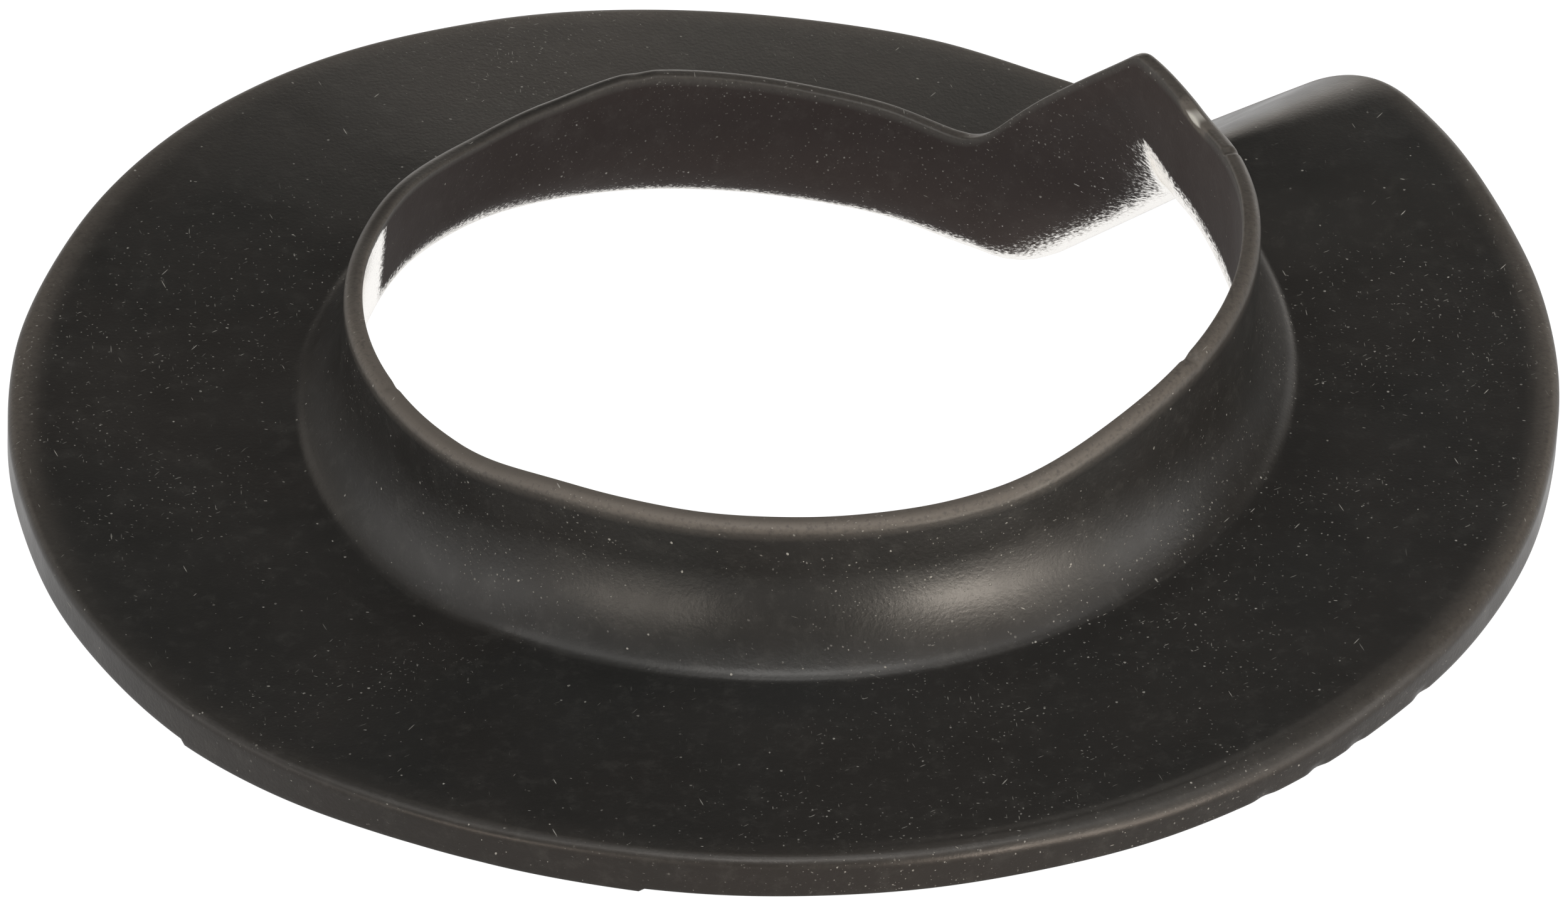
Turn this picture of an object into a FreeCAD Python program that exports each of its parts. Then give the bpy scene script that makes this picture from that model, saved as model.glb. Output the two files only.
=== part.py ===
"""Coil-spring insulator: one rubber moulding, a wide flange that winds once round the spring's axis.

The origin is on the flange's axis, level with the lowest point of the underside, and +Z is up the axis.
Seen from above, the flange climbs counterclockwise from the foot of a steep ramp, once round, to the ramp's
crest. A collar that pilots the spring's bore stands up from its inner edge. A turn is an angle in degrees
measured clockwise from the crest, so the foot of the ramp is at the largest turns.
"""

import math
import os

import FreeCAD
import Part

NODE = "spring_insulator"

SIZES = {
    # flange
    "flange_radius": 70.1,
    "flange_thickness": 4.0,
    "flange_edge_round": 0.8,
    # ramp that the cut end of the wire butts against
    "crest_angle": 41.5,
    "ramp_run_inner": 17.0,
    "ramp_run_outer": 19.3,
    "crest_round_inner": 1.5,
    "crest_round_outer": 6.0,
    "ramp_foot_round": 2.0,
    "ramp_under_shift": 1.8,
    # collar
    "collar_height": 13.0,
    "collar_offset_x": 0.9,
    "collar_offset_y": 0.7,
    "collar_lean_x": 0.1,
    "collar_lean_y": 0.6,
    "rim_inner_radius": 39.4,
    "rim_outer_radius": 41.1,
    "rim_inner_round": 0.3,
    "rim_outer_round": 0.9,
    "bore_foot_radius": 39.7,
    "bell_radius": 8.0,
    # outer side of the collar, from its straight wall down to the flange
    "flare_top_height": 8.0,
    "flare_top_radius": 41.3,
    "flare_foot_height": 1.0,
    "flare_foot_radius": 44.1,
    "flare_lean_top": 7.0,
    "flare_lean_foot": 40.0,
    "foot_reach": 1.7,
}

# height of the flange's top above the lowest point of the underside, at each turn
SEAT_HEIGHTS = (
    (0, 21.3),
    (10, 21.0),
    (25, 19.3),
    (45, 18.6),
    (75, 18.1),
    (105, 16.6),
    (140, 15.1),
    (160, 13.9),
    (180, 11.9),
    (205, 11.5),
    (230, 11.4),
    (250, 12.0),
    (265, 11.5),
    (285, 9.6),
    (310, 6.9),
    (322, 5.8),
    (332, 4.5),
    (342, 4.05),
    (360, 4.05),
)

# height of the collar's rim above the flange's top, at each turn
COLLAR_HEIGHTS = (
    (0, 12.7),
    (12, 12.2),
    (25, 14.6),
    (40, 15.8),
    (60, 15.8),
    (80, 15.2),
    (105, 13.4),
    (135, 13.5),
    (165, 13.8),
    (190, 13.2),
    (215, 12.2),
    (240, 10.8),
    (262, 9.2),
    (275, 10.3),
    (290, 12.4),
    (330, 11.6),
    (345, 13.2),
    (360, 12.7),
)

RAMP_REACH = 72.0
SECTIONS = 120
CROWDING = 0.62
FLANGE_POINTS = 7
ARC_POINTS = 6


def turn_name(prefix, turn):
    return "{}_height_{:03d}".format(prefix, turn)


def make_sheet(doc):
    sheet = doc.addObject("Spreadsheet::Sheet", "Sizes")
    cells = list(SIZES.items())
    cells += [(turn_name("seat", turn), height) for turn, height in SEAT_HEIGHTS]
    cells += [(turn_name("collar", turn), height) for turn, height in COLLAR_HEIGHTS]
    for row, (name, value) in enumerate(cells, 1):
        sheet.set("A{}".format(row), name)
        sheet.set("B{}".format(row), str(value))
        sheet.setAlias("B{}".format(row), name)
    doc.recompute()
    return sheet


def lerp(low, high, share):
    return low + (high - low) * share


def clamp(share):
    return max(0.0, min(1.0, share))


def round_lower(a, b, reach):
    """The lower of two heights, with the corner between them rounded off over reach."""
    near = max(reach - abs(a - b), 0.0) / reach
    return min(a, b) - near * near * reach / 4


def round_higher(a, b, reach):
    return -round_lower(-a, -b, reach)


class HeightCurve:
    """A height that changes smoothly with the turn, and never overshoots its rows."""

    def __init__(self, sheet, prefix, rows):
        self.turns = [float(turn) for turn, _ in rows]
        self.heights = [float(sheet.get(turn_name(prefix, turn))) for turn, _ in rows]
        steps = [
            (self.heights[i + 1] - self.heights[i]) / (self.turns[i + 1] - self.turns[i])
            for i in range(len(rows) - 1)
        ]
        self.slopes = [0.0]
        for before, after in zip(steps, steps[1:]):
            same_way = before * after > 0
            self.slopes.append(2 * before * after / (before + after) if same_way else 0.0)
        self.slopes.append(0.0)

    def at(self, turn):
        turn = max(self.turns[0], min(self.turns[-1], turn))
        i = max(k for k in range(len(self.turns) - 1) if self.turns[k] <= turn)
        width = self.turns[i + 1] - self.turns[i]
        u = (turn - self.turns[i]) / width
        value = (2 * u**3 - 3 * u**2 + 1) * self.heights[i] + (3 * u**2 - 2 * u**3) * self.heights[i + 1]
        return value + width * (
            (u**3 - 2 * u**2 + u) * self.slopes[i] + (u**3 - u**2) * self.slopes[i + 1]
        )


class Insulator:
    """Turns the sizes in the sheet into points on the moulding's skin."""

    def __init__(self, sheet):
        for name in SIZES:
            setattr(self, name, float(sheet.get(name)))
        self.seat = HeightCurve(sheet, "seat", SEAT_HEIGHTS)
        self.collar = HeightCurve(sheet, "collar", COLLAR_HEIGHTS)
        self.foot_outer_radius = self.flare_foot_radius + self.foot_reach

    def lift(self, radius, ahead, shift):
        """Height of the flange's top, ahead degrees counterclockwise of the crest, from -180 to 180."""
        share = clamp((radius - self.rim_outer_radius) / (self.flange_radius - self.rim_outer_radius))
        if abs(ahead) > RAMP_REACH:
            return self.seat.at(-ahead % 360)
        run = lerp(self.ramp_run_inner, self.ramp_run_outer, share)
        crest_round = lerp(self.crest_round_inner, self.crest_round_outer, share)
        along = radius * math.sin(math.radians(ahead)) + shift
        ramp = lerp(self.seat.heights[0], self.seat.heights[-1], along / run)
        high = self.seat.at(max(-ahead, 0.0))
        low = self.seat.at(min(360.0 - ahead, 360.0))
        return round_higher(round_lower(ramp, high, crest_round), low, self.ramp_foot_round)

    def skin(self, radius, height, ahead):
        """A point at this radius, this far above the flange's top, at this angle ahead of the crest."""
        depth = clamp((self.bell_radius - self.flange_thickness - height) / self.bell_radius)
        if radius > self.foot_outer_radius:
            depth = clamp(-height / self.flange_thickness)
        up_collar = clamp(height / self.collar_height)
        if height > 0:
            height *= self.collar.at(-ahead % 360) / self.collar_height
        angle = math.radians(self.crest_angle + ahead)
        off_centre = clamp((self.flange_radius - radius) / (self.flange_radius - self.foot_outer_radius))
        return FreeCAD.Vector(
            radius * math.cos(angle) + self.collar_offset_x * off_centre + self.collar_lean_x * up_collar,
            radius * math.sin(angle) + self.collar_offset_y * off_centre + self.collar_lean_y * up_collar,
            self.lift(radius, ahead, self.ramp_under_shift * depth) + height,
        )

    def line(self, start, end, count):
        return [
            (lerp(start[0], end[0], i / (count - 1)), lerp(start[1], end[1], i / (count - 1)))
            for i in range(count)
        ]

    def arc(self, centre, radius, first, last):
        """Points on an arc, from one angle in degrees to another."""
        angles = [math.radians(lerp(first, last, i / (ARC_POINTS - 1))) for i in range(ARC_POINTS)]
        return [(centre[0] + radius * math.cos(a), centre[1] + radius * math.sin(a)) for a in angles]

    def blend(self, start, start_angle, end, end_angle):
        """A smooth curve between two points that leaves and arrives in the directions given, in degrees."""
        length = math.hypot(end[0] - start[0], end[1] - start[1])
        out = (math.cos(math.radians(start_angle)), math.sin(math.radians(start_angle)))
        into = (math.cos(math.radians(end_angle)), math.sin(math.radians(end_angle)))
        points = []
        for i in range(ARC_POINTS):
            u = i / (ARC_POINTS - 1)
            h0, h1 = 2 * u**3 - 3 * u**2 + 1, 3 * u**2 - 2 * u**3
            g0, g1 = (u**3 - 2 * u**2 + u) * length, (u**3 - u**2) * length
            points.append(tuple(h0 * start[k] + h1 * end[k] + g0 * out[k] + g1 * into[k] for k in (0, 1)))
        return points

    def profile(self):
        """The section's edges once round it, as lists of (radius, height above the flange's top)."""
        rounding, thick, top = self.flange_edge_round, self.flange_thickness, self.collar_height
        edge, inner, outer = self.flange_radius, self.rim_inner_round, self.rim_outer_round
        bell_centre = (self.bore_foot_radius + self.bell_radius, self.bell_radius - thick)
        foot = (self.flare_foot_radius, self.flare_foot_height)
        flare = (self.flare_top_radius, self.flare_top_height)
        rim_outside = (self.rim_outer_radius, top - outer)
        rim_inside = (self.rim_inner_radius, top - inner)
        return [
            self.line((self.foot_outer_radius, 0), (edge - rounding, 0), FLANGE_POINTS),
            self.arc((edge - rounding, -rounding), rounding, 90, 0),
            self.line((edge, -rounding), (edge, -thick), 3),
            self.line((edge, -thick), (bell_centre[0], -thick), FLANGE_POINTS),
            self.arc(bell_centre, self.bell_radius, 270, 180),
            self.line((self.bore_foot_radius, bell_centre[1]), rim_inside, 3),
            self.arc((self.rim_inner_radius + inner, top - inner), inner, 180, 90),
            self.line((self.rim_inner_radius + inner, top), (self.rim_outer_radius - outer, top), 3),
            self.arc((self.rim_outer_radius - outer, top - outer), outer, 90, 0),
            self.line(rim_outside, flare, 3),
            self.blend(flare, self.flare_lean_top - 90, foot, self.flare_lean_foot - 90),
            self.blend(foot, self.flare_lean_foot - 90, (self.foot_outer_radius, 0), 0),
        ]

    def section(self, ahead):
        """The closed wire round the section at an angle ahead of the crest."""
        edges = []
        for points in self.profile():
            curve = Part.BSplineCurve()
            curve.interpolate(
                Points=[self.skin(radius, height, ahead) for radius, height in points],
                Parameters=[i / (len(points) - 1) for i in range(len(points))],
            )
            edges.append(curve.toShape())
        return Part.Wire(edges)

    def stations(self):
        """Angles ahead of the crest for the sections, which crowd together on the ramp."""
        middle = math.degrees(math.asin(self.ramp_run_outer / self.flange_radius)) / 2
        angles = []
        for i in range(SECTIONS):
            share = i / SECTIONS - 0.5
            ahead = middle + 360 * (share - CROWDING * math.sin(2 * math.pi * share) / (2 * math.pi))
            angles.append((ahead + 180) % 360 - 180)
        return angles


def make_insulator(doc, sheet):
    shape_maker = Insulator(sheet)
    sections = [shape_maker.section(ahead) for ahead in shape_maker.stations()]
    moulding = doc.addObject("Part::Feature", NODE)
    moulding.Label = NODE
    moulding.Shape = Part.makeLoft(sections, True, False, True)
    moulding.Placement = FreeCAD.Placement()
    return moulding


def check(doc, part):
    doc.recompute()
    for item in doc.Objects:
        if "Invalid" in item.State or "Error" in item.State:
            raise RuntimeError("{} failed to recompute".format(item.Label))
    if part.Shape.isNull() or not part.Shape.isValid():
        raise RuntimeError("{} has no valid shape".format(part.Label))


def main():
    doc = FreeCAD.newDocument("SpringInsulator")
    sheet = make_sheet(doc)
    part = make_insulator(doc, sheet)
    check(doc, part)
    box = part.Shape.BoundBox
    print(NODE, "solids", len(part.Shape.Solids), "volume", round(part.Shape.Volume), "box", box)
    os.makedirs("parts", exist_ok=True)
    part.Shape.exportStep(os.path.join("parts", NODE + ".step"))


main()
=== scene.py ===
"""A moulded rubber insulator for a car's coil spring, in metres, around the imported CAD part.

The rubber is one closed mesh. A section through the wall is swept once round the centre
line: it climbs the helical seat, drops down the step where the spring wire ends, and carries
the upright collar round the bore. The small marks of moulding are part of the mesh.
"""

import math

import bpy
import numpy as np
from mathutils import Matrix, Vector


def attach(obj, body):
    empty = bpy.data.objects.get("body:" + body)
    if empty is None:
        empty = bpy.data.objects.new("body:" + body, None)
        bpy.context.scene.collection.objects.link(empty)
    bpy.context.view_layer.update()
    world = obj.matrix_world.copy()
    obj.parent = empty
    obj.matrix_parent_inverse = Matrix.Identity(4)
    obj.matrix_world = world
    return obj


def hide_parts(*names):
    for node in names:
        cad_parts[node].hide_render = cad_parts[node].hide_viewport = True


NODE = "spring_insulator"

# Flange that carries the last coil of the spring
FLANGE_RADIUS = 0.0701
FLANGE_THICKNESS = 0.0040
FLANGE_EDGE_ROUND = 0.0010
FLANGE_BOTTOM_ROUND = 0.0002

# Height of the flange's top face, by degrees clockwise from the crest of the step
SEAT_HEIGHTS = (
    (0, 0.0213), (10, 0.0210), (25, 0.0193), (45, 0.0186), (75, 0.0181), (105, 0.0166),
    (140, 0.0151), (160, 0.0139), (180, 0.0119), (205, 0.0115), (230, 0.0114), (250, 0.0120),
    (265, 0.0115), (285, 0.0096), (310, 0.0069), (322, 0.0058), (332, 0.0045), (342, 0.00405),
    (360, 0.00405),
)

# Step where the wire ends: a ramp from the crest down to the lowest part of the seat
CREST_ANGLE = 41.5
RAMP_RUN_INNER = 0.0170
RAMP_RUN_OUTER = 0.0193
CREST_ROUND_INNER = 0.0009
CREST_ROUND_OUTER = 0.0060
RAMP_FOOT_ROUND = 0.0020
RAMP_UNDER_SHIFT = 0.0018
RAMP_REACH = 72.0

# Collar round the bore, off centre and leaning to the back; a flare widens it down to the flange
COLLAR_HEIGHT = 0.0130
COLLAR_OFFSET = (0.0009, 0.0007)
COLLAR_LEAN = (0.0001, 0.0006)
RIM_INNER_RADIUS = 0.0394
RIM_OUTER_RADIUS = 0.0411
RIM_INNER_ROUND = 0.0003
RIM_OUTER_ROUND = 0.0009
BORE_FOOT_RADIUS = 0.0397
BELL_RADIUS = 0.0080
FLARE_TOP = (0.0413, 0.0080)
FLARE_FOOT = (0.0443, 0.0008)
FLARE_LEAN_TOP = 7.0
FLARE_LEAN_FOOT = 40.0
FOOT_REACH = 0.0013
FOOT_OUTER_RADIUS = FLARE_FOOT[0] + FOOT_REACH

# Height of the rim over the seat, by degrees clockwise from the crest
COLLAR_HEIGHTS = (
    (0, 0.0127), (12, 0.0122), (25, 0.0146), (40, 0.0158), (60, 0.0158), (80, 0.0152),
    (105, 0.0134), (135, 0.0135), (165, 0.0138), (190, 0.0132), (215, 0.0122), (240, 0.0108),
    (262, 0.0092), (275, 0.0103), (290, 0.0124), (330, 0.0116), (345, 0.0132), (360, 0.0127),
)

# Wider mouth of the bore, just past the crest
MOUTH_PLACE = 5.0
MOUTH_REACH = 15.0
MOUTH_TOP = 0.0090
MOUTH_SPREAD = 0.0016

# Hollower flare at the two sides: place and reach in degrees clockwise from the crest, depth
SCOOPS = ((50.0, 55.0, 0.0006), (232.0, 55.0, 0.0002))

# Marks of moulding and trimming, by degrees clockwise from the crest.
# Flash: start, end, depth. Nicks: place, reach, depth. Groove: place, reach, radius, width, depth.
# Soft edge: place, reach, width, depth. Waves: count round the part, size, start in radians.
FLASH = ((157.0, 179.0, 0.0005), (152.0, 140.0, 0.0004))
FLASH_REACH = 0.0012
EDGE_NICKS = ((76.5, 1.2, 0.00025), (84.0, 1.2, 0.0002), (88.0, 1.2, 0.0003), (93.0, 1.2, 0.0002))
RIM_NICKS = ((71.0, 1.5, 0.0003), (288.5, 2.5, 0.0002), (24.0, 1.2, 0.0003), (196.0, 1.6, 0.0002))
NICK_REACH = 0.0010
GROOVE = (98.0, 34.0, 0.0682, 0.0004, 0.00007)
SOFT_EDGE = (90.0, 46.0, 0.0027, 0.0010)
WAVES = ((5, 0.00012, 0.4), (11, 0.00006, 2.1), (23, 0.00003, 4.0))
WAVE_DEPTH = 0.5

# Fineness of the mesh: sections round the part, and how much they crowd at the step
STATIONS = 1400
CROWDING = 0.62

# Camera, floor and light. Softboxes: degrees round from the front, degrees up, distance, size,
# watts, colour. Near cards: place, size, watts, colour.
CAMERA_AIM = (0.00025, -0.0009, 0.0080)
CAMERA_DISTANCE = 1.329
CAMERA_ELEVATION = 36.755
CAMERA_ROLL = 2.732
CAMERA_LENS = 336.4
CAMERA_CLIP_END = 20.0
FLOOR_SIZE = 6.0
FLOOR_COLOUR = (0.08, 0.08, 0.08, 1)
FLOOR_ROUGHNESS = 0.9
FLOOR_GLOW = 1.0
ROOM = (0.03, 0.03, 0.03, 1)
NEUTRAL = (1, 1, 1)
WARM = (1, 0.92, 0.83)
SOFTBOXES = {
    "front_top": (0, 60, 1.1, (0.8, 0.35), 7.6, NEUTRAL),
    "front": (0, 38, 1.1, (0.9, 0.3), 0.9, NEUTRAL),
    "overhead": (0, 88, 1.2, (0.6, 0.4), 3.3, NEUTRAL),
    "left_top": (-70, 45, 1.1, (0.6, 0.5), 3.2, NEUTRAL),
    "right_top": (60, 45, 1.1, (0.6, 0.5), 2.2, NEUTRAL),
    "back_top": (180, 62, 1.1, (0.8, 0.4), 0.8, WARM),
    "right_key": (40.5, 1, 1.1, (0.60, 0.26), 22.0, WARM),
    "right_fill": (46, 17, 1.1, (0.75, 0.25), 2.4, WARM),
    "left_key": (-34, 2, 1.1, (0.48, 0.3), 7.0, WARM),
    "left_fill": (-64, 8, 1.1, (0.5, 0.4), 1.7, NEUTRAL),
    "right": (80, 10, 1.1, (0.5, 0.4), 3.2, NEUTRAL),
    "left": (-90, 10, 1.1, (0.6, 0.4), 2.0, NEUTRAL),
    "back_left": (-125, 20, 1.1, (0.6, 0.5), 1.1, WARM),
    "back_right": (140, 22, 1.1, (0.6, 0.5), 0.6, WARM),
}
NEAR_CARDS = {
    "card_back": ((0.01, 0.125, 0.03), (0.2, 0.04), 0.033, WARM),
    "card_right": ((0.11, 0.13, 0.05), (0.12, 0.05), 0.015, NEUTRAL),
}

# Names of the mesh attributes that the rubber reads
WEAR_AND_HIGHLIGHT = "wear_and_painted_highlight"
BORE = "bore"
SIDE = "flange_side"
POLISH = "bore_polish"

# Polish of the bore: place and reach in degrees anticlockwise from the crest, and blur; then the
# mouth's polish, from its least to its most
POLISHED_SIDE = (142.0, 22.0, 5.0)
POLISHED_MOUTH = (7.0, 40.0)
POLISH_OF_MOUTH = (0.4, 0.95)

# Wear and painted highlight of the rim and of the flange's edge, by degrees clockwise from the
# crest:
# the skin is painted lighter there, partly for real wear and partly for light caught on these
# edges.
# The rim has a dark stretch where only its two corners carry painted highlight lines, and a
# painted glint, each with place and reach.
RIM_WEAR_AND_HIGHLIGHT = (
    (0, 0.5), (50, 0.7), (90, 1.2), (150, 1.4), (190, 1.8), (250, 0.8), (300, 0.6), (360, 0.5),
)
RIM_CORNER_HIGHLIGHTS = (270.0, 110.0)
RIM_GLINT = (14.0, 5.0)
GLINT_HEIGHT = 0.0127
GLINT_REACH = 0.0009
GLINT_STRENGTH = 3
EDGE_WEAR_AND_HIGHLIGHT = (
    (0, 0.5), (40, 1.0), (90, 0.22), (130, 0.13), (190, 0.13), (225, 1.0), (270, 0.5), (360, 0.5),
)
RIM_WEAR_AND_HIGHLIGHT_REACH = 0.0012
EDGE_WEAR_AND_HIGHLIGHT_REACH = 0.0030

# Rubber
RUBBER_COOL = (0.0088, 0.0087, 0.0082, 1)
RUBBER_WARM = (0.0104, 0.0096, 0.0088, 1)
RUBBER_BORE = (0.0150, 0.0102, 0.0090, 1)
# Lighter skin on the rim and the flange's edge: partly real wear, partly painted highlight
RUBBER_WORN_AND_HIGHLIGHT = (0.061, 0.053, 0.045, 1)
RUBBER_IOR = 1.33
SPECULAR_TINT = (1, 0.98, 0.95, 1)
SIDE_TINT = (0.66, 0.54, 0.47, 1)
PATCH_SCALE = 45.0
PATCH_NOISE = (0.35, 0.65)
GRAIN_SCALE = 2600.0
GRAIN_NOISE = (0.2, 0.6)
GRAIN_ON_WEAR_AND_HIGHLIGHT = (0.5, 1.0)
GRAIN_DEPTH = 0.00004
GRAIN_STRENGTH = 0.5
# Range of the lighter-skin mask over which the skin turns to the pale dust colour: a painted glint
PAINTED_GLINT_RANGE = (1.9, 3.0)

# Roughness, from the smoothest patch to the roughest, and what makes it rougher
ROUGHNESS = (0.32, 0.40)
ROUGHNESS_SCALE = 120.0
ROUGHNESS_NOISE = (0.3, 0.7)
WORN_ROUGHER = 0.2
LINT_ROUGHER = 0.3
BORE_ROUGHER = 0.45

# Sheen of the polished bore, which starts where the skin is seen at a shallow angle
SHEEN_FROM = 0.42
SHEEN_TO = 0.86
SHEEN_BREAK = 0.10
SHEEN_DELAY = 0.3
SHEEN_ROUGHNESS = 0.15
POLISHED_IOR = 40.0
FULLY_POLISHED = 0.5
STREAK_SCALE = 3400.0
STREAK_NOISE = (0.25, 0.75)
STREAK_STRETCH = (1, 2.5, 1)
STREAK_TURN = (0, 0.6, 0.7)

# Dust and haze; the dust colour also paints the glint on the rim. Specks have scale, size and the
# share that is kept
DUST_AND_GLINT = (0.32, 0.31, 0.28, 1)
DUST_STRENGTH = 0.5
DUST_TURN = (0.6, 0.4, 0.9)
DUST_BEND_SCALE = 3000.0
DUST_SPECKS = (850.0, 0.13, 0.55)
FINE_SPECKS = (1900.0, 0.22, 0.95)
FINE_STRENGTH = 0.75
CROWD_SCALE = 38.0
CROWD_NOISE = (0.46, 0.62)
HAZE = 0.02
HAZE_SCALE = 500.0
HAZE_NOISE = (0.48, 0.72)

# Fibres: turn and length of each layer
LINT_BEND = 0.0006
LINT_RELIEF = 1.5
LINT_BEND_SCALE = 400.0
LINT_SPECKS = (1000.0, 0.07, 0.8)
LINT_LAYERS = (
    ((0, 0, 0.4), 10),
    ((0.3, 0, 1.5), 13),
    ((0, 0.3, 2.6), 9),
)
FLUFF_BEND_SCALE = 900.0
FLUFF_SPECKS = (2000.0, 0.12, 0.9)
FLUFF_STRENGTH = (0.15, 0.75)
FLUFF_LAYERS = (
    ((0, 0.2, 0.1), 7),
    ((0.2, 0, 1.1), 5),
    ((0, 0.1, 2.2), 6),
)


# ---------------------------------------------------------------- small helpers

def lerp(start, end, share):
    return start + (end - start) * share


def clamp(value):
    return np.clip(value, 0.0, 1.0)


def round_lower(a, b, reach):
    """The lower of two heights, rounded where they cross."""
    close = np.maximum(reach - np.abs(a - b), 0.0) / reach
    return np.minimum(a, b) - close * close * reach / 4


def round_higher(a, b, reach):
    return -round_lower(-a, -b, reach)


# ---------------------------------------------------------------- shape of the seat

def slopes_of(turns, heights):
    """Slope at each stated height, so that the curve through them never overshoots."""
    steps = np.diff(heights) / np.diff(turns)
    slopes = np.zeros(len(turns))
    for i in range(1, len(turns) - 1):
        before, after = steps[i - 1], steps[i]
        if before * after > 0:
            slopes[i] = 2 * before * after / (before + after)
    return slopes


def height_at(rows, turn):
    """Height at a turn, on a smooth curve through rows of turn and height."""
    turns, heights = np.array(rows).T
    slopes = slopes_of(turns, heights)
    turn = np.clip(turn, turns[0], turns[-1])
    i = np.clip(np.searchsorted(turns, turn, side="right") - 1, 0, len(turns) - 2)
    width = turns[i + 1] - turns[i]
    t = (turn - turns[i]) / width
    return (
        (2 * t**3 - 3 * t**2 + 1) * heights[i]
        + (t**3 - 2 * t**2 + t) * width * slopes[i]
        + (3 * t**2 - 2 * t**3) * heights[i + 1]
        + (t**3 - t**2) * width * slopes[i + 1]
    )


def seat(turn):
    """Height of the flange's top, away from the step."""
    return height_at(SEAT_HEIGHTS, turn)


def lift(radius, ahead, shift):
    """Height of the seat at a radius, ahead of the crest in degrees anticlockwise."""
    share = clamp((radius - RIM_OUTER_RADIUS) / (FLANGE_RADIUS - RIM_OUTER_RADIUS))
    run = lerp(RAMP_RUN_INNER, RAMP_RUN_OUTER, share)
    crest_round = lerp(CREST_ROUND_INNER, CREST_ROUND_OUTER, share)
    crest, foot = SEAT_HEIGHTS[0][1], SEAT_HEIGHTS[-1][1]
    along = radius * np.sin(np.radians(ahead)) + shift
    ramp = lerp(crest, foot, along / run)
    high = seat(np.maximum(-ahead, 0.0))
    low = seat(np.minimum(360.0 - ahead, 360.0))
    step = round_higher(round_lower(ramp, high, crest_round), low, RAMP_FOOT_ROUND)
    return np.where(np.abs(ahead) > RAMP_REACH, seat(-ahead % 360.0), step)


def collar_share(turn):
    """Height of the collar at a turn, as a share of the height that the section has."""
    return height_at(COLLAR_HEIGHTS, turn) / COLLAR_HEIGHT


# ---------------------------------------------------------------- section through the wall

def line(start, end, count):
    """Points from start up to, but not including, end."""
    share = np.linspace(0.0, 1.0, count, endpoint=False)[:, None]
    return lerp(np.array(start), np.array(end), share)


def arc(centre, radius, start, end, count):
    turn = np.radians(np.linspace(start, end, count, endpoint=False))
    return np.array(centre) + radius * np.stack([np.cos(turn), np.sin(turn)], axis=1)


def blend(start, start_angle, end, end_angle, count):
    """Points of a curve that leaves start and reaches end in the stated directions."""
    start, end = np.array(start), np.array(end)
    length = np.linalg.norm(end - start)
    leave, reach = (
        length * np.array([math.cos(math.radians(a)), math.sin(math.radians(a))])
        for a in (start_angle, end_angle)
    )
    t = np.linspace(0.0, 1.0, count, endpoint=False)[:, None]
    return (
        (2 * t**3 - 3 * t**2 + 1) * start
        + (t**3 - 2 * t**2 + t) * leave
        + (3 * t**2 - 2 * t**3) * end
        + (t**3 - t**2) * reach
    )


def section():
    """Closed outline of the wall as rows of radius and height over the seat."""
    top_end = FLANGE_RADIUS - FLANGE_EDGE_ROUND
    groove_start = GROOVE[2] - 2 * GROOVE[3]
    bottom_end = FLANGE_RADIUS - FLANGE_BOTTOM_ROUND
    bottom_start = -FLANGE_THICKNESS + FLANGE_BOTTOM_ROUND
    bell_centre = (BORE_FOOT_RADIUS + BELL_RADIUS, BELL_RADIUS - FLANGE_THICKNESS)
    rim_inner = (RIM_INNER_RADIUS + RIM_INNER_ROUND, COLLAR_HEIGHT - RIM_INNER_ROUND)
    rim_outer = (RIM_OUTER_RADIUS - RIM_OUTER_ROUND, COLLAR_HEIGHT - RIM_OUTER_ROUND)
    return np.concatenate([
        line((FOOT_OUTER_RADIUS, 0.0), (groove_start, 0.0), 28),
        line((groove_start, 0.0), (top_end, 0.0), 10),
        arc((top_end, -FLANGE_EDGE_ROUND), FLANGE_EDGE_ROUND, 90, 0, 9),
        line((FLANGE_RADIUS, -FLANGE_EDGE_ROUND), (FLANGE_RADIUS, bottom_start), 8),
        arc((bottom_end, bottom_start), FLANGE_BOTTOM_ROUND, 0, -90, 3),
        line((bottom_end, -FLANGE_THICKNESS), (bell_centre[0], -FLANGE_THICKNESS), 22),
        arc(bell_centre, BELL_RADIUS, 270, 180, 14),
        line((BORE_FOOT_RADIUS, bell_centre[1]), (RIM_INNER_RADIUS, rim_inner[1]), 10),
        arc(rim_inner, RIM_INNER_ROUND, 180, 90, 4),
        line((rim_inner[0], COLLAR_HEIGHT), (rim_outer[0], COLLAR_HEIGHT), 3),
        arc(rim_outer, RIM_OUTER_ROUND, 90, 0, 6),
        line((RIM_OUTER_RADIUS, rim_outer[1]), FLARE_TOP, 6),
        blend(FLARE_TOP, FLARE_LEAN_TOP - 90, FLARE_FOOT, FLARE_LEAN_FOOT - 90, 12),
        blend(FLARE_FOOT, FLARE_LEAN_FOOT - 90, (FOOT_OUTER_RADIUS, 0.0), 0, 6),
    ])


def stations():
    """Degrees ahead of the crest at which the section stands, closest at the step."""
    middle = math.degrees(math.asin(RAMP_RUN_OUTER / FLANGE_RADIUS)) / 2
    share = np.arange(STATIONS) / STATIONS
    crowded = share - CROWDING * np.sin(2 * np.pi * share) / (2 * np.pi)
    return (middle + 360.0 * crowded + 180.0) % 360.0 - 180.0


def degrees_off(turn, centre):
    return np.abs((turn - centre + 180.0) % 360.0 - 180.0)


def near(turn, centre, reach):
    """1 at the centre, easing to 0 at the reach either side, in degrees round the object."""
    share = clamp(1 - degrees_off(turn, centre) / reach)
    return share * share * (3 - 2 * share)


def in_bore(radius, height):
    """Whether a point of the section lies on the bore: its wall or its bell mouth."""
    wall = (radius < RIM_OUTER_RADIUS) & (height < COLLAR_HEIGHT - RIM_OUTER_ROUND)
    mouth = (radius < BORE_FOOT_RADIUS + BELL_RADIUS) & (height < 0)
    return wall | mouth


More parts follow.
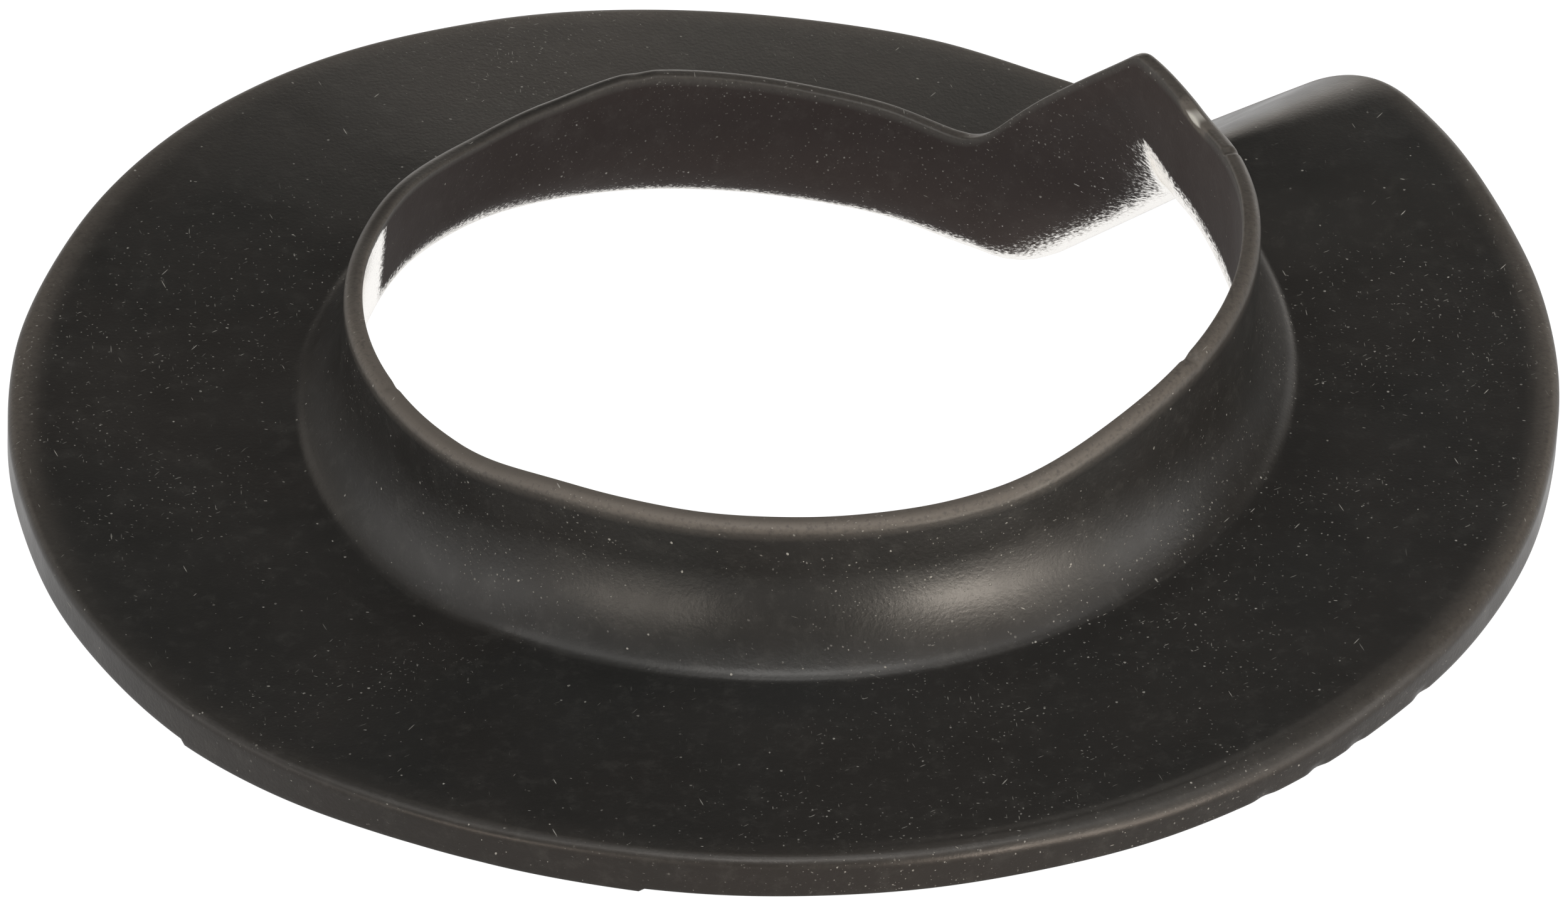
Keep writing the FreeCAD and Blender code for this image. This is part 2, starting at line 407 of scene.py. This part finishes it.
def marks(radius, height, turn):
    """How far waves, nicks, flash and the groove move the skin, outward and upward."""
    at_edge = clamp(1 - (FLANGE_RADIUS - radius) / NICK_REACH)
    at_rim = clamp(1 - (COLLAR_HEIGHT - height) / NICK_REACH)
    at_foot = clamp(1 - (height + FLANGE_THICKNESS) / FLASH_REACH) * at_edge
    outward = np.zeros(np.broadcast(radius, turn).shape)
    upward = np.zeros(outward.shape)
    for count, size, start in WAVES:
        wave = size * np.sin(count * np.radians(turn) + start)
        outward += wave * at_edge
        upward += wave * at_rim * WAVE_DEPTH
    for centre, reach, depth in EDGE_NICKS:
        outward -= near(turn, centre, reach) * depth * at_foot
    for centre, reach, depth in RIM_NICKS:
        upward -= near(turn, centre, reach) * depth * at_rim
    for start, end, depth in FLASH:
        along = (turn - start) / (end - start)
        upward -= np.where((along > 0) & (along < 1), along, 0.0) * depth * at_foot
    centre, reach, where, width, depth = GROOVE
    across = clamp(1 - np.abs(radius - where) / width) * (height == 0)
    upward -= near(turn, centre, reach) * across * depth
    return outward, upward


def arch(share):
    """0 at both ends of a share and 1 half way."""
    return 4 * share * (1 - share)


def swell(radius, height, turn):
    """How far the skin moves outward, into the wide mouth and away from the hollow flare."""
    down = clamp((MOUTH_TOP - height) / (MOUTH_TOP + FLANGE_THICKNESS))
    widened = arch(down) * MOUTH_SPREAD * in_bore(radius, height)
    outward = near(-turn, MOUTH_PLACE, MOUTH_REACH) * widened
    up_flare = clamp(height / FLARE_TOP[1]) * (radius > FLARE_TOP[0])
    for centre, reach, depth in SCOOPS:
        outward = outward - near(turn, centre, reach) * arch(up_flare) * depth
    return outward


def droop(radius, height, turn):
    """How far the soft edge of the flange drops the skin."""
    centre, reach, width, drop = SOFT_EDGE
    across = clamp(1 - (FLANGE_RADIUS - radius) / width)
    above_foot = clamp((height + FLANGE_THICKNESS) / (FLANGE_THICKNESS - FLANGE_EDGE_ROUND))
    return near(turn, centre, reach) * across**2 * above_foot * drop


def place(radius, height, ahead):
    """Points of the skin, from radius, height over the seat and degrees ahead of the crest."""
    turn = -ahead % 360.0
    depth = np.where(
        radius > FOOT_OUTER_RADIUS,
        clamp(-height / FLANGE_THICKNESS),
        clamp((BELL_RADIUS - FLANGE_THICKNESS - height) / BELL_RADIUS),
    )
    raised = np.where(height > 0, height * collar_share(turn), height)
    angle = np.radians(CREST_ANGLE + ahead)
    off_centre = clamp((FLANGE_RADIUS - radius) / (FLANGE_RADIUS - FOOT_OUTER_RADIUS))
    up_collar = clamp(height / COLLAR_HEIGHT)
    outward, upward = marks(radius, height, turn)
    reach = radius + outward + swell(radius, height, turn)
    upward = upward - droop(radius, height, turn)
    return np.stack([
        reach * np.cos(angle) + COLLAR_OFFSET[0] * off_centre + COLLAR_LEAN[0] * up_collar,
        reach * np.sin(angle) + COLLAR_OFFSET[1] * off_centre + COLLAR_LEAN[1] * up_collar,
        lift(radius, ahead, RAMP_UNDER_SHIFT * depth) + raised + upward,
    ], axis=-1)


# ---------------------------------------------------------------- mesh

def ring_faces(rings, points):
    """Quads of a closed tube: rings of points, joined to the next ring and to the first."""
    ring, point = np.meshgrid(np.arange(rings), np.arange(points), indexing="ij")
    next_ring, next_point = (ring + 1) % rings, (point + 1) % points
    corners = (
        ring * points + point,
        ring * points + next_point,
        next_ring * points + next_point,
        next_ring * points + point,
    )
    return np.stack(corners, axis=-1).reshape(-1, 4)


def make_mesh(name, points, faces):
    mesh = bpy.data.meshes.new(name)
    mesh.from_pydata(points.reshape(-1, 3).tolist(), [], faces.tolist())
    mesh.validate()
    mesh.update()
    mesh.shade_smooth()
    made = bpy.data.objects.new(name, mesh)
    bpy.context.scene.collection.objects.link(made)
    return made


def wear_and_highlight_of(radius, height, turn):
    """How much lighter the skin is painted, for wear and painted highlight, on the rim and the
    flange's edge, and most at the painted glint on the rim.
    """
    rim = clamp((height - COLLAR_HEIGHT + RIM_WEAR_AND_HIGHLIGHT_REACH) / RIM_WEAR_AND_HIGHLIGHT_REACH)
    edge = clamp((radius - FLANGE_RADIUS + EDGE_WEAR_AND_HIGHLIGHT_REACH) / EDGE_WEAR_AND_HIGHLIGHT_REACH)
    edge = edge * clamp(1 + height / FLANGE_EDGE_ROUND)
    middle = (RIM_INNER_RADIUS + RIM_OUTER_RADIUS) / 2
    corner = clamp(2 * np.abs(radius - middle) / (RIM_OUTER_RADIUS - RIM_INNER_RADIUS))
    # Along one stretch the middle of the rim's top stays dark and only its two corners keep
    # painted highlight lines
    rim = rim * (1 - near(turn, *RIM_CORNER_HIGHLIGHTS) * (1 - corner**2))
    at_glint = clamp(1 - np.abs(height - GLINT_HEIGHT) / GLINT_REACH) * (radius < middle)
    rim = rim * height_at(RIM_WEAR_AND_HIGHLIGHT, turn) + GLINT_STRENGTH * near(turn, *RIM_GLINT) * at_glint
    return np.maximum(rim, edge * height_at(EDGE_WEAR_AND_HIGHLIGHT, turn))


def polish_of(radius, height, ahead):
    """How polished the bore is: one side of the wall, and the mouth, most under the ramp."""
    inner = in_bore(radius, height)
    mouth = inner & (height < BELL_RADIUS - FLANGE_THICKNESS)
    centre, reach, blur = POLISHED_SIDE
    side = clamp((reach - degrees_off(ahead, centre)) / blur) * inner
    return np.maximum(side, lerp(*POLISH_OF_MOUTH, near(ahead, *POLISHED_MOUTH)) * mouth)


def side_of(radius, height):
    """1 on the flange's side, below the round of its top edge."""
    return clamp(-height / FLANGE_EDGE_ROUND) * (radius > FLANGE_RADIUS - FLANGE_EDGE_ROUND)


def make_insulator():
    outline = section()
    ahead = stations()[:, None]
    radius = np.broadcast_to(outline[:, 0], (STATIONS, len(outline)))
    height = np.broadcast_to(outline[:, 1], (STATIONS, len(outline)))
    skin = place(radius, height, ahead)
    made = make_mesh("rubber_insulator", skin, ring_faces(STATIONS, len(outline)))
    looks = (
        (WEAR_AND_HIGHLIGHT, wear_and_highlight_of(radius, height, -ahead % 360.0)),
        (BORE, in_bore(radius, height).astype(float)),
        (POLISH, polish_of(radius, height, ahead)),
        (SIDE, side_of(radius, height)),
    )
    for name, values in looks:
        layer = made.data.attributes.new(name, "FLOAT", "POINT")
        layer.data.foreach_set("value", values.ravel())
    return made


# ---------------------------------------------------------------- materials

class NodeTree:
    """A new material, with short calls for the nodes that the looks below are made of."""

    def __init__(self, name):
        self.material = bpy.data.materials.new(name)
        self.material.use_nodes = True
        self.tree = self.material.node_tree
        self.shader = self.tree.nodes["Principled BSDF"]

    def node(self, kind, **settings):
        made = self.tree.nodes.new(kind)
        for setting, value in settings.items():
            setattr(made, setting, value)
        return made

    def join(self, source, target):
        """Links a socket, or sets the target to a plain value."""
        if isinstance(source, bpy.types.NodeSocket):
            self.tree.links.new(source, target)
        else:
            target.default_value = source

    def object_place(self, stretch=(1, 1, 1), turn=(0, 0, 0)):
        """The place on the object in metres, turned and stretched."""
        where = self.node("ShaderNodeTexCoord").outputs["Object"]
        mapping = self.node("ShaderNodeMapping", vector_type="TEXTURE")
        mapping.inputs["Rotation"].default_value = turn
        mapping.inputs["Scale"].default_value = stretch
        self.join(where, mapping.inputs["Vector"])
        return mapping.outputs["Vector"]

    def noise(self, place, scale, detail=3.0, roughness=0.5):
        made = self.node("ShaderNodeTexNoise")
        self.join(place, made.inputs["Vector"])
        made.inputs["Scale"].default_value = scale
        made.inputs["Detail"].default_value = detail
        made.inputs["Roughness"].default_value = roughness
        return made.outputs["Fac"]

    def math(self, operation, first, second=0.0):
        made = self.node("ShaderNodeMath", operation=operation)
        self.join(first, made.inputs[0])
        self.join(second, made.inputs[1])
        return made.outputs[0]

    def fit(self, value, low, high, to_low=0.0, to_high=1.0):
        """value from low..high, eased to to_low..to_high."""
        made = self.node("ShaderNodeMapRange", interpolation_type="SMOOTHSTEP")
        for socket, number in zip(made.inputs, (value, low, high, to_low, to_high)):
            self.join(number, socket)
        return made.outputs[0]

    def attribute(self, name):
        """A value that the mesh carries at each point."""
        return self.node("ShaderNodeAttribute", attribute_name=name).outputs["Fac"]

    def times(self, first, second):
        return self.math("MULTIPLY", first, second)

    def plus(self, first, second):
        return self.math("ADD", first, second)

    def most(self, first, second):
        return self.math("MAXIMUM", first, second)

    def mix(self, share, first, second):
        """Colour between first and second."""
        made = self.node("ShaderNodeMix", data_type="RGBA")
        self.join(share, made.inputs["Factor"])
        self.join(first, made.inputs["A"])
        self.join(second, made.inputs["B"])
        return made.outputs["Result"]

    def bent(self, place, scale, size):
        """The place moved about by up to size, so that what is drawn there bends."""
        waves = self.node("ShaderNodeTexNoise")
        self.join(place, waves.inputs["Vector"])
        waves.inputs["Scale"].default_value = scale
        made = self.node("ShaderNodeVectorMath", operation="MULTIPLY_ADD")
        self.join(waves.outputs["Color"], made.inputs[0])
        made.inputs[1].default_value = (size, size, size)
        self.join(place, made.inputs[2])
        return made.outputs["Vector"]

    def specks(self, place, scale, size, kept):
        """Small spots of random size and strength, in the share of Voronoi cells that is kept."""
        made = self.node("ShaderNodeTexVoronoi")
        self.join(place, made.inputs["Vector"])
        made.inputs["Scale"].default_value = scale
        chance = self.node("ShaderNodeSeparateColor")
        self.join(made.outputs["Color"], chance.inputs["Color"])
        spot_size = self.fit(chance.outputs["Green"], 0.0, 1.0, size * 0.4, size)
        across = self.math("DIVIDE", made.outputs["Distance"], spot_size)
        spot = self.fit(across, 0.5, 1.0, 1.0, 0.0)
        spot = self.times(spot, self.fit(chance.outputs["Blue"], 0.0, 1.0, 0.2, 1.0))
        return self.times(spot, self.math("LESS_THAN", chance.outputs["Red"], kept))


def lint_of(tree, place):
    """How much of the skin dust and fibres cover, which lie thickest where the skin is crowded."""
    crowded = tree.fit(tree.noise(place, CROWD_SCALE, 3.0), *CROWD_NOISE)
    strewn = tree.bent(tree.object_place((1, 1, 1), DUST_TURN), DUST_BEND_SCALE, LINT_BEND / 3)
    fine = tree.times(tree.specks(strewn, *FINE_SPECKS), tree.times(crowded, FINE_STRENGTH))
    lint = tree.most(tree.specks(strewn, *DUST_SPECKS), fine)
    for turn, length in LINT_LAYERS:
        along = tree.bent(tree.object_place((1, length, 1), turn), LINT_BEND_SCALE, LINT_BEND)
        lint = tree.most(lint, tree.specks(along, *LINT_SPECKS))
    for turn, length in FLUFF_LAYERS:
        along = tree.bent(tree.object_place((1, length, 1), turn), FLUFF_BEND_SCALE, LINT_BEND)
        strength = tree.fit(crowded, 0.0, 1.0, *FLUFF_STRENGTH)
        lint = tree.most(lint, tree.times(tree.specks(along, *FLUFF_SPECKS), strength))
    return lint


def sheen_of(tree, normal):
    """Gloss of the polished bore, in fine streaks, where it is seen at a shallow angle."""
    polish = tree.attribute(POLISH)
    grazing = tree.node("ShaderNodeLayerWeight")
    tree.join(normal, grazing.inputs["Normal"])
    streaks = tree.noise(tree.object_place(STREAK_STRETCH, STREAK_TURN), STREAK_SCALE, 2.0, 0.7)
    streaks = tree.fit(streaks, *STREAK_NOISE, -SHEEN_BREAK, SHEEN_BREAK)
    facing = tree.plus(grazing.outputs["Facing"], streaks)
    facing = tree.plus(facing, tree.fit(polish, 0.0, 1.0, -SHEEN_DELAY, 0.0))
    shallow = tree.fit(facing, SHEEN_FROM, SHEEN_TO)
    return tree.times(shallow, tree.fit(polish, 0.0, FULLY_POLISHED))


def rubber_material():
    """Black rubber: a dry satin skin with moulding grain, scuffs, lint and dust, and skin painted
    lighter on the rim and edge, partly for wear and partly as painted highlight, with a painted
    glint on the rim.
    """
    tree = NodeTree("moulded_rubber")
    place = tree.object_place()
    wear_and_highlight = tree.attribute(WEAR_AND_HIGHLIGHT)
    bore = tree.attribute(BORE)
    lint = lint_of(tree, place)

    patches = tree.fit(tree.noise(place, PATCH_SCALE, 4.0), *PATCH_NOISE)
    grain = tree.noise(place, GRAIN_SCALE, 2.0, 0.6)
    skin = tree.mix(patches, RUBBER_COOL, RUBBER_WARM)
    skin = tree.mix(bore, skin, RUBBER_BORE)
    scuffs_and_highlights = tree.times(wear_and_highlight, tree.fit(grain, *GRAIN_NOISE, *GRAIN_ON_WEAR_AND_HIGHLIGHT))
    # Skin painted lighter on the rim and the flange's edge, partly for wear and partly as painted
    # highlight
    skin = tree.mix(scuffs_and_highlights, skin, RUBBER_WORN_AND_HIGHLIGHT)
    # Painted glint on the rim near the crest, in the pale dust colour
    skin = tree.mix(tree.fit(wear_and_highlight, *PAINTED_GLINT_RANGE), skin, DUST_AND_GLINT)
    haze = tree.fit(tree.noise(place, HAZE_SCALE, 6.0, 0.75), *HAZE_NOISE, 0.0, HAZE)
    coverage = tree.plus(tree.times(lint, DUST_STRENGTH), haze)
    tree.join(tree.mix(coverage, skin, DUST_AND_GLINT), tree.shader.inputs["Base Color"])
    tint = tree.mix(tree.attribute(SIDE), SPECULAR_TINT, SIDE_TINT)
    tree.join(tint, tree.shader.inputs["Specular Tint"])

    bump = tree.node("ShaderNodeBump")
    bump.inputs["Strength"].default_value = GRAIN_STRENGTH
    bump.inputs["Distance"].default_value = GRAIN_DEPTH
    tree.join(tree.plus(grain, tree.times(lint, LINT_RELIEF)), bump.inputs["Height"])
    tree.join(bump.outputs["Normal"], tree.shader.inputs["Normal"])

    sheen = sheen_of(tree, bump.outputs["Normal"])
    index = tree.fit(tree.times(sheen, sheen), 0.0, 1.0, RUBBER_IOR, POLISHED_IOR)
    tree.join(index, tree.shader.inputs["IOR"])

    roughness = tree.noise(place, ROUGHNESS_SCALE, 5.0, 0.6)
    roughness = tree.fit(roughness, *ROUGHNESS_NOISE, *ROUGHNESS)
    roughness = tree.plus(roughness, tree.times(wear_and_highlight, WORN_ROUGHER))
    roughness = tree.plus(roughness, tree.times(lint, LINT_ROUGHER))
    roughness = tree.plus(roughness, tree.times(bore, BORE_ROUGHER))
    smooth = tree.fit(sheen, 0.0, 1.0)
    roughness = tree.times(roughness, tree.math("SUBTRACT", 1.0, smooth))
    roughness = tree.plus(roughness, tree.times(smooth, SHEEN_ROUGHNESS))
    tree.join(roughness, tree.shader.inputs["Roughness"])
    return tree.material


def floor_material():
    """White paper, so brightly lit that it shows no shadow."""
    tree = NodeTree("pale_floor")
    tree.shader.inputs["Base Color"].default_value = FLOOR_COLOUR
    tree.shader.inputs["Roughness"].default_value = FLOOR_ROUGHNESS
    tree.shader.inputs["Emission Color"].default_value = (1, 1, 1, 1)
    tree.shader.inputs["Emission Strength"].default_value = FLOOR_GLOW
    return tree.material


# ---------------------------------------------------------------- camera, floor and light

def from_angles(azimuth, elevation):
    """Unit vector from the object: azimuth 0 is the front (-Y) and 90 the right (+X)."""
    a, e = math.radians(azimuth), math.radians(elevation)
    return Vector((math.sin(a) * math.cos(e), -math.cos(a) * math.cos(e), math.sin(e)))


def add_camera():
    camera = bpy.data.objects.new("camera", bpy.data.cameras.new("camera"))
    camera.data.lens = CAMERA_LENS
    camera.data.clip_end = CAMERA_CLIP_END
    back = from_angles(0, CAMERA_ELEVATION)
    turn = back.to_track_quat("Z", "Y").to_matrix().to_4x4()
    roll = Matrix.Rotation(math.radians(CAMERA_ROLL), 4, "Z")
    where = Vector(CAMERA_AIM) + back * CAMERA_DISTANCE
    camera.matrix_world = Matrix.Translation(where) @ turn @ roll
    bpy.context.scene.collection.objects.link(camera)
    bpy.context.scene.camera = camera


def add_floor():
    half = FLOOR_SIZE / 2
    corners = np.array([(-half, -half, 0), (half, -half, 0), (half, half, 0), (-half, half, 0)])
    floor = make_mesh("floor", corners, np.array([(0, 1, 2, 3)]))
    floor.data.materials.append(floor_material())


def add_softbox(name, where, size, power, colour):
    lamp = bpy.data.lights.new(name, "AREA")
    lamp.shape = "RECTANGLE"
    lamp.size, lamp.size_y = size
    lamp.energy = power
    lamp.color = colour
    box = bpy.data.objects.new(name, lamp)
    box.location = where
    box.visible_camera = False
    box.rotation_mode = "QUATERNION"
    box.rotation_quaternion = where.to_track_quat("Z", "Y")
    bpy.context.scene.collection.objects.link(box)


def add_world():
    """A dark room: the light comes from the softboxes and the white floor."""
    world = bpy.data.worlds.new("studio")
    world.use_nodes = True
    world.node_tree.nodes["Background"].inputs["Color"].default_value = ROOM
    bpy.context.scene.world = world


def add_lights():
    """Softboxes on a ring; the low ones light the flare, the near ones the back of the flange."""
    for name, (azimuth, elevation, distance, size, power, colour) in SOFTBOXES.items():
        add_softbox(name, from_angles(azimuth, elevation) * distance, size, power, colour)
    for name, (where, size, power, colour) in NEAR_CARDS.items():
        add_softbox(name, Vector(where), size, power, colour)


# ---------------------------------------------------------------- the scene

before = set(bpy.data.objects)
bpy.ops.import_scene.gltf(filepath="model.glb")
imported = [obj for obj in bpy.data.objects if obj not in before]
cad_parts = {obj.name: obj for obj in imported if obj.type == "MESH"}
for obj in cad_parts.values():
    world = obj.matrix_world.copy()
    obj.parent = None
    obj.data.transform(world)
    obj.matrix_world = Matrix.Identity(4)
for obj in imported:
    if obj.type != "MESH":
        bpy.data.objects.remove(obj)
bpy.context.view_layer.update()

insulator = make_insulator()
insulator.data.materials.append(rubber_material())
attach(insulator, "root")
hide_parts(NODE)

add_floor()
add_camera()
add_world()
add_lights()
bpy.context.scene.view_settings.view_transform = "Standard"
